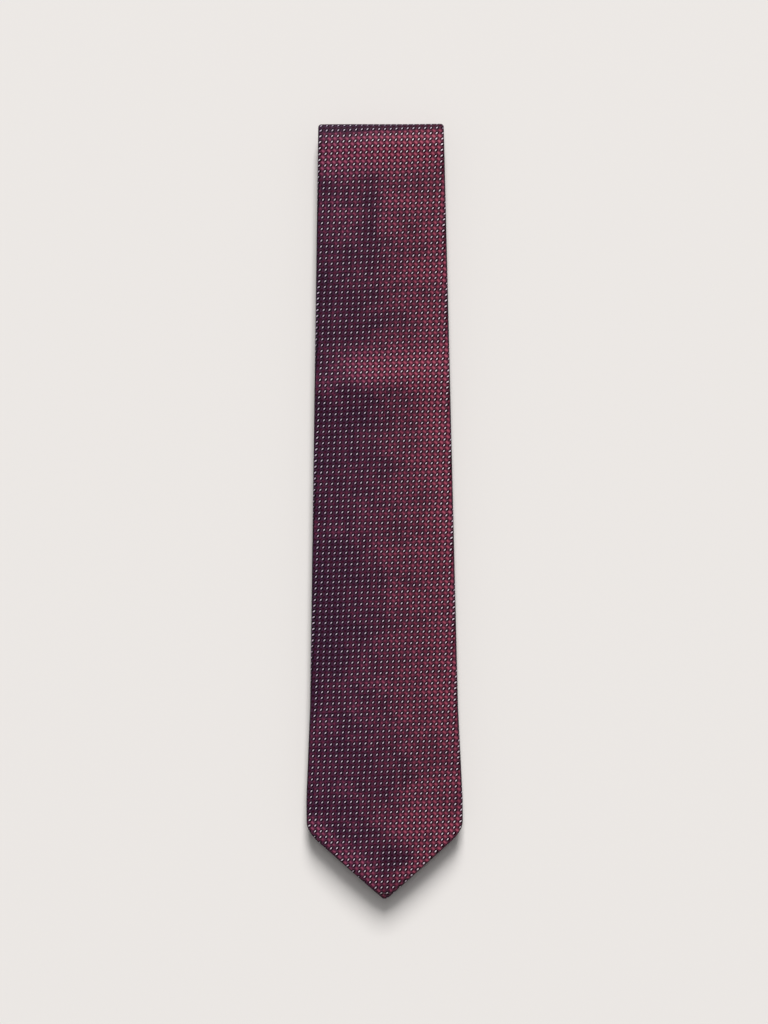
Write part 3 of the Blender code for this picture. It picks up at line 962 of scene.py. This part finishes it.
def add_lights():
    """A tall soft light from beyond the tie's top, a weaker one nearly overhead, and an even surround."""
    area_light("key", 3, 44, (15, 30), 3.47, (1.0, 0.99, 0.975))
    area_light("fill", 0, 76, (24, 24), 0.45, (1.0, 1.0, 1.0))
    world = bpy.data.worlds.new("world")
    bpy.context.scene.world = world
    world.use_nodes = True
    background = world.node_tree.nodes["Background"]
    background.inputs["Color"].default_value = SURROUND_COLOUR
    background.inputs["Strength"].default_value = SURROUND


# ------------------------------------------------------------------------------
# Pieces
# ------------------------------------------------------------------------------

FINISH = {
    "silk": silk_material(),
    "satin": satin_material(),
    "wool": wool_material(),
    "thread": thread_material("thread", srgb(60, 16, 30), srgb(128, 48, 66)),
    "pale thread": thread_material("pale_thread", srgb(176, 168, 160), srgb(230, 224, 216)),
}

THREAD_R = 0.13
FINE_THREAD_R = THREAD_R * 0.9
TACK_PITCH = 0.27

# The wool lies between the back's plies and the front, and stops short of the edges, folds and tips.
WOOL_LOW, WOOL_BELOW_FRONT = 1.35, 0.55
WOOL_INSET, WOOL_FROM_FOLD, WOOL_FROM_TIP = 2.0, 1, 3

SATIN, SATIN_H, SATIN_SLACK = 0.18, 1.1, 0.45

# The keeper loop and the labels lie this far off the back.
BACK_TRIM_H = -0.42
KEEPER_HALF = (27.0, 6.0)
KEEPER_PLY, KEEPER_SILK, KEEPER_BOW = 0.26, 0.18, 0.1
LABEL_HALF, CARE_HALF = (26.0, 10.0), (9.0, 8.0)
LABEL_THICK, LABEL_LIFT = 0.22, 0.08


def add_silk():
    """The three panels of silk. Where two of them meet, their ends run at 45 degrees."""
    silk = FINISH["silk"]
    blade = blade_silk(silk)
    neck = neck_silk(silk)
    tail = tail_silk(silk)
    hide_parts("blade_shell", "blade_shell_upper", "top_fold_turn")
    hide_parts("neck_shell_front", "neck_shell_rear", "inner_fold_turn")
    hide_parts("tail_shell_upper", "tail_shell", "rear_fold_turn")
    for obj in (blade, neck, tail):
        mark_gleam(obj)


def interlining(name, run, start, end, node):
    """Wool cut a little narrower than its run."""
    high = run.thick - WOOL_BELOW_FRONT

    def half_at(y):
        return run.half_at(y) - WOOL_INSET

    def height(x, y):
        return (WOOL_LOW + high) / 2

    ys = stations(start, end, 4.0, (0, 1, 2, 3))
    obj = flat_cloth(name, run, ys, half_at, height, 16, high - WOOL_LOW, FINISH["wool"])
    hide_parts(node)


def add_interlinings():
    top = TOP_FOLD_Y - WOOL_FROM_FOLD
    bottom = INNER_FOLD_Y + WOOL_FROM_FOLD
    blade_end = BLADE_TIP + WOOL_FROM_TIP
    tail_end = TAIL_TIP + WOOL_FROM_TIP
    interlining("blade_wool", BLADE, blade_end, top, "blade_interlining")
    interlining("inner_wool", INNER, top, bottom, "inner_interlining")
    interlining("neck_wool", NECK, bottom, top, "neck_interlining")
    interlining("tail_wool", TAIL, top, tail_end, "tail_interlining")


def tipping(name, run, tip, first, last, inset, node):
    """Satin lining of a point, first to last from its tip, slack between the hems."""
    start, end = tip + first, tip + last

    def half_at(y):
        return run.half_at(y) - inset

    def height(x, y):
        half = max(half_at(y), 0.1)
        slack = ramp(y, start, start + 14) * ramp(y, end, end - 30)
        across = max(1 - (x / half) ** 2, 0.0)
        return SATIN_H - SATIN_SLACK * slack * across * (0.75 + 0.5 * wander(x, y, 9, 14, 4.2))

    obj = flat_cloth(name, run, stations(start, end, 2.0), half_at, height, 24, SATIN, FINISH["satin"])
    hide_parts(node)


def add_tippings():
    tipping("blade_satin", BLADE, BLADE_TIP, 7, 125, 7.0, "blade_tipping")
    tipping("tail_satin", TAIL, TAIL_TIP, 5.5, 85, 5.0, "tail_tipping")


def sewing(name, run, places, radius, node, finish="thread"):
    """Sewing thread that takes the place of a CAD node, if there is one for it."""
    obj = thread(name, run, places, radius, FINISH[finish])
    if node:
        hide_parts(node)


def slip_stitch(name, run, start, end, node):
    """A ladder stitch down the centre back: it crosses the seam, then runs hidden inside one flap's fold."""
    pitch = 7.0
    outside, inside = -0.03, FLAP_H + PLY / 2
    count = int(abs(end - start) / pitch)
    way = math.copysign((abs(end - start) - 1) / count, end - start)
    step = way / pitch
    places = []
    side = 1
    for k in range(count):
        y = start + way * (k + 0.07)
        places += [(side * 0.75, y, inside), (side * 0.5, y + 0.3 * step, outside)]
        places += [(-side * 0.5, y + 0.9 * step, outside), (-side * 0.75, y + 1.2 * step, inside)]
        side = -side
    sewing(name, run, places, FINE_THREAD_R, node)


def slack_loop(name, run, opening, length, width, node):
    """The slip stitch's loose end, left as a loop inside the opening so that the seam can give."""
    top = opening.tip + opening.opens
    places = [
        (0.25, top, 0.45),
        (0.3, top - 0.25 * length, 0.2),
        (width, top - 0.72 * length, 0.28),
        (0.1, top - length, 0.25),
        (-width, top - 0.76 * length, 0.3),
        (-0.35, top - 0.3 * length, 0.35),
        (-0.2, top, 0.5),
    ]
    sewing(name, run, places, THREAD_R, node)


def tack(name, run, middle, size, pitch, node, finish="thread"):
    """Stitches side by side, to and fro across the shorter way of a block of this middle and size."""
    lengthwise = size[X] > size[Y]
    length, width = max(size), min(size)
    count = round(length / pitch)
    places = []
    for k in range(count + 1):
        way = 1 if k % 2 else -1
        for share, h in ((-0.5, 0.12), (-0.36, -0.1), (0.36, -0.1), (0.5, 0.12)):
            across = way * share * width
            along = length * (k / count - 0.5) + 0.2 * pitch * (share + 0.5)
            off_x, off_y = (along, across) if lengthwise else (across, along)
            places.append((middle[X] + off_x, middle[Y] + off_y, h))
    sewing(name, run, places, THREAD_R, node, finish)


def add_stitches():
    top, bottom = TOP_FOLD_Y - 2, INNER_FOLD_Y + 2
    blade_opens = BLADE_TIP + BLADE_OPENING.opens
    tail_opens = TAIL_TIP + TAIL_OPENING.opens
    slip_stitch("blade_ladder_stitch", BLADE, blade_opens + 6, top, "blade_slip_stitch")
    slip_stitch("inner_ladder_stitch", INNER, top, bottom, "inner_slip_stitch")
    slip_stitch("neck_ladder_stitch", NECK, bottom, top, "neck_slip_stitch")
    slip_stitch("tail_ladder_stitch", TAIL, top, tail_opens + 6, "tail_slip_stitch")
    slack_loop("blade_slack_loop", BLADE, BLADE_OPENING, 20, 1.6, "slip_stitch_slack_loop")
    slack_loop("tail_slack_thread", TAIL, TAIL_OPENING, 17, 1.3, "tail_slack_loop")
    tack("blade_tack", BLADE, (0, blade_opens + 2), (8, 1.8), TACK_PITCH, "blade_bar_tack")
    tack("tail_tack", TAIL, (0, tail_opens + 2), (6, 1.6), TACK_PITCH, "tail_bar_tack")
    for side, word in ((1, "right"), (-1, "left")):
        loop_end = (side * (KEEPER_HALF[X] + 0.9), KEEPER_Y)
        label_end = (side * (LABEL_HALF[X] + 0.6), LABEL_Y)
        tack("loop_tack_" + word, BLADE, loop_end, (1.2, 9), TACK_PITCH, "keeper_tack_" + word)
        tack("label_tack_" + word, BLADE, label_end, (0.6, 17), 0.7, "label_stitch_" + word)


def bias_seam(name, run, join, node):
    """The sewing along a bias join: a thread sunk in the seam, all round the run."""
    gap = 1.0
    turned_under = 6

    def half_of(side):
        w = slanted_half(run, join.y, side)
        section = half_section(w, run.thick, gap, 0.0, SEAM_COUNTS)[:-turned_under]
        places = []
        for x, h, across in section:
            sunk = 0.12 if h < run.thick / 2 else -0.12
            places.append((side * x, join.y + side * across, h + sunk))
        return places

    sewing(name, run, whole_ring(half_of), FINE_THREAD_R, node)


def add_seams():
    bias_seam("blade_neck_seam", INNER, BLADE_NECK, "blade_neck_join")
    bias_seam("neck_tail_seam", NECK, NECK_TAIL, "neck_tail_join")


def keeper_place(across):
    """How far out and how high the keeper loop's cloth is, this far across it: its upper ply, then round
    the long edge, then back beneath until it meets the other side's."""
    half_wide = KEEPER_HALF[Y]
    edge_reach, edge_r = 0.4, KEEPER_PLY / 2
    turned = across - half_wide
    if abs(turned) < edge_reach:
        turn = math.pi * (turned + edge_reach) / (2 * edge_reach)
        return half_wide - edge_r + edge_r * math.sin(turn), -edge_r * math.cos(turn)
    if turned < 0:
        return across, -edge_r
    return max(2 * half_wide - across, 0.05), edge_r


def keeper_loop():
    """A band of the tie's silk, wrapped so that its long edges meet beneath it, and bowed off the back."""
    half_long, half_wide = KEEPER_HALF
    columns, steps = 28, 40
    # The band shows a stretch of the pattern that no panel has.
    pattern_start = 300
    rows = []
    for k in range(columns + 1):
        x = half_long * (2 * k / columns - 1)
        bow = KEEPER_BOW * (1 - (x / half_long) ** 2)
        row = []
        for step in range(steps + 1):
            across = (step / steps - 0.5) * 4 * half_wide
            out, rise = keeper_place(abs(across))
            y = KEEPER_Y + math.copysign(out, across)
            row.append((in_run(BLADE, x, y, BACK_TRIM_H - bow + rise), (across + pattern_start, x)))
        rows.append(row)
    obj = cloth_mesh("keeper_band", rows, KEEPER_SILK, FINISH["silk"])
    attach(obj, BLADE.body)
    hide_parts("keeper_loop")


def label(name, middle, half, columns, material, node):
    """A flat label whose edges lift slightly."""
    rows = []
    for y in stations(middle[Y] - half[Y], middle[Y] + half[Y], 1.0):
        row = []
        for k in range(columns + 1):
            x = middle[X] + half[X] * (2 * k / columns - 1)
            u, v = x - middle[X], y - middle[Y]
            lift = ramp(max(abs(u) / half[X], abs(v) / half[Y]), 0.8, 1.0)
            h = BACK_TRIM_H - LABEL_LIFT * lift * wander(x, y, 6, 6, 1.0)
            row.append((in_run(BLADE, x, y, h), (u, v)))
        rows.append(row)
    obj = cloth_mesh(name, rows, LABEL_THICK, material)
    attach(obj, BLADE.body)
    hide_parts(node)


def add_back_details():
    keeper_loop()
    woven = label_material("woven_label", srgb(34, 30, 40), srgb(150, 132, 108), LABEL_HALF)
    label("blank_label", (0.0, LABEL_Y), LABEL_HALF, 40, woven, "back_label")
    care = label_material("care_satin", srgb(226, 222, 214), srgb(214, 208, 198), CARE_HALF)
    care_at = (CARE_X, CARE_Y)
    label("blank_care_label", care_at, CARE_HALF, 20, care, "care_label")
    care_seam = (CARE_X, CARE_Y + CARE_HALF[Y] - 0.8)
    tack("care_label_tack", BLADE, care_seam, (16, 0.7), 0.8, None, "pale thread")


add_camera()
add_floor()
add_lights()
add_silk()
add_interlinings()
add_tippings()
add_stitches()
add_seams()
add_back_details()

bpy.context.scene.view_settings.view_transform = "Standard"

bpy.context.view_layer.update()
